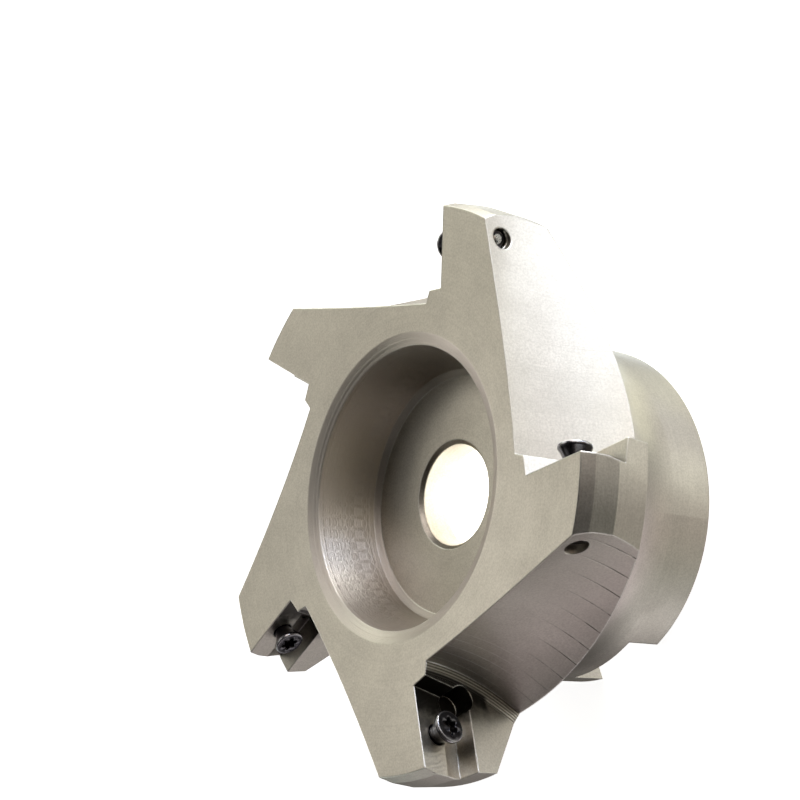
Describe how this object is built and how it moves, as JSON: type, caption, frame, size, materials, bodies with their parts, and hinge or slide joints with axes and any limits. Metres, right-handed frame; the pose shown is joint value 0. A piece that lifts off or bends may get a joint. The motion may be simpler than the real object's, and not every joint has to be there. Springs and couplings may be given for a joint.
{
  "type": "indexable face mill",
  "caption": "Steel milling cutter body with open insert pockets and chip gullets round a dished face, a bolt recess, and a slotted hub bored for an arbor.",
  "frame": {"origin": "centre of the hub's back face, on the cutter's axis", "axes": "+Z along the cutter's axis, from the hub towards the cutting face; the middle of one tooth's face edge lies near +X"},
  "size_m": [0.094, 0.0978, 0.0471],
  "materials": {
    "cutter_steel": "satin, warm grey and fine-grained, with tool marks in the gullets",
    "screw_black": "black oxide, slightly shiny"
  },
  "bodies": {
    "root": {"mill_body": "cutter_steel", "insert_screws": "screw_black"}
  },
  "joints": []
}
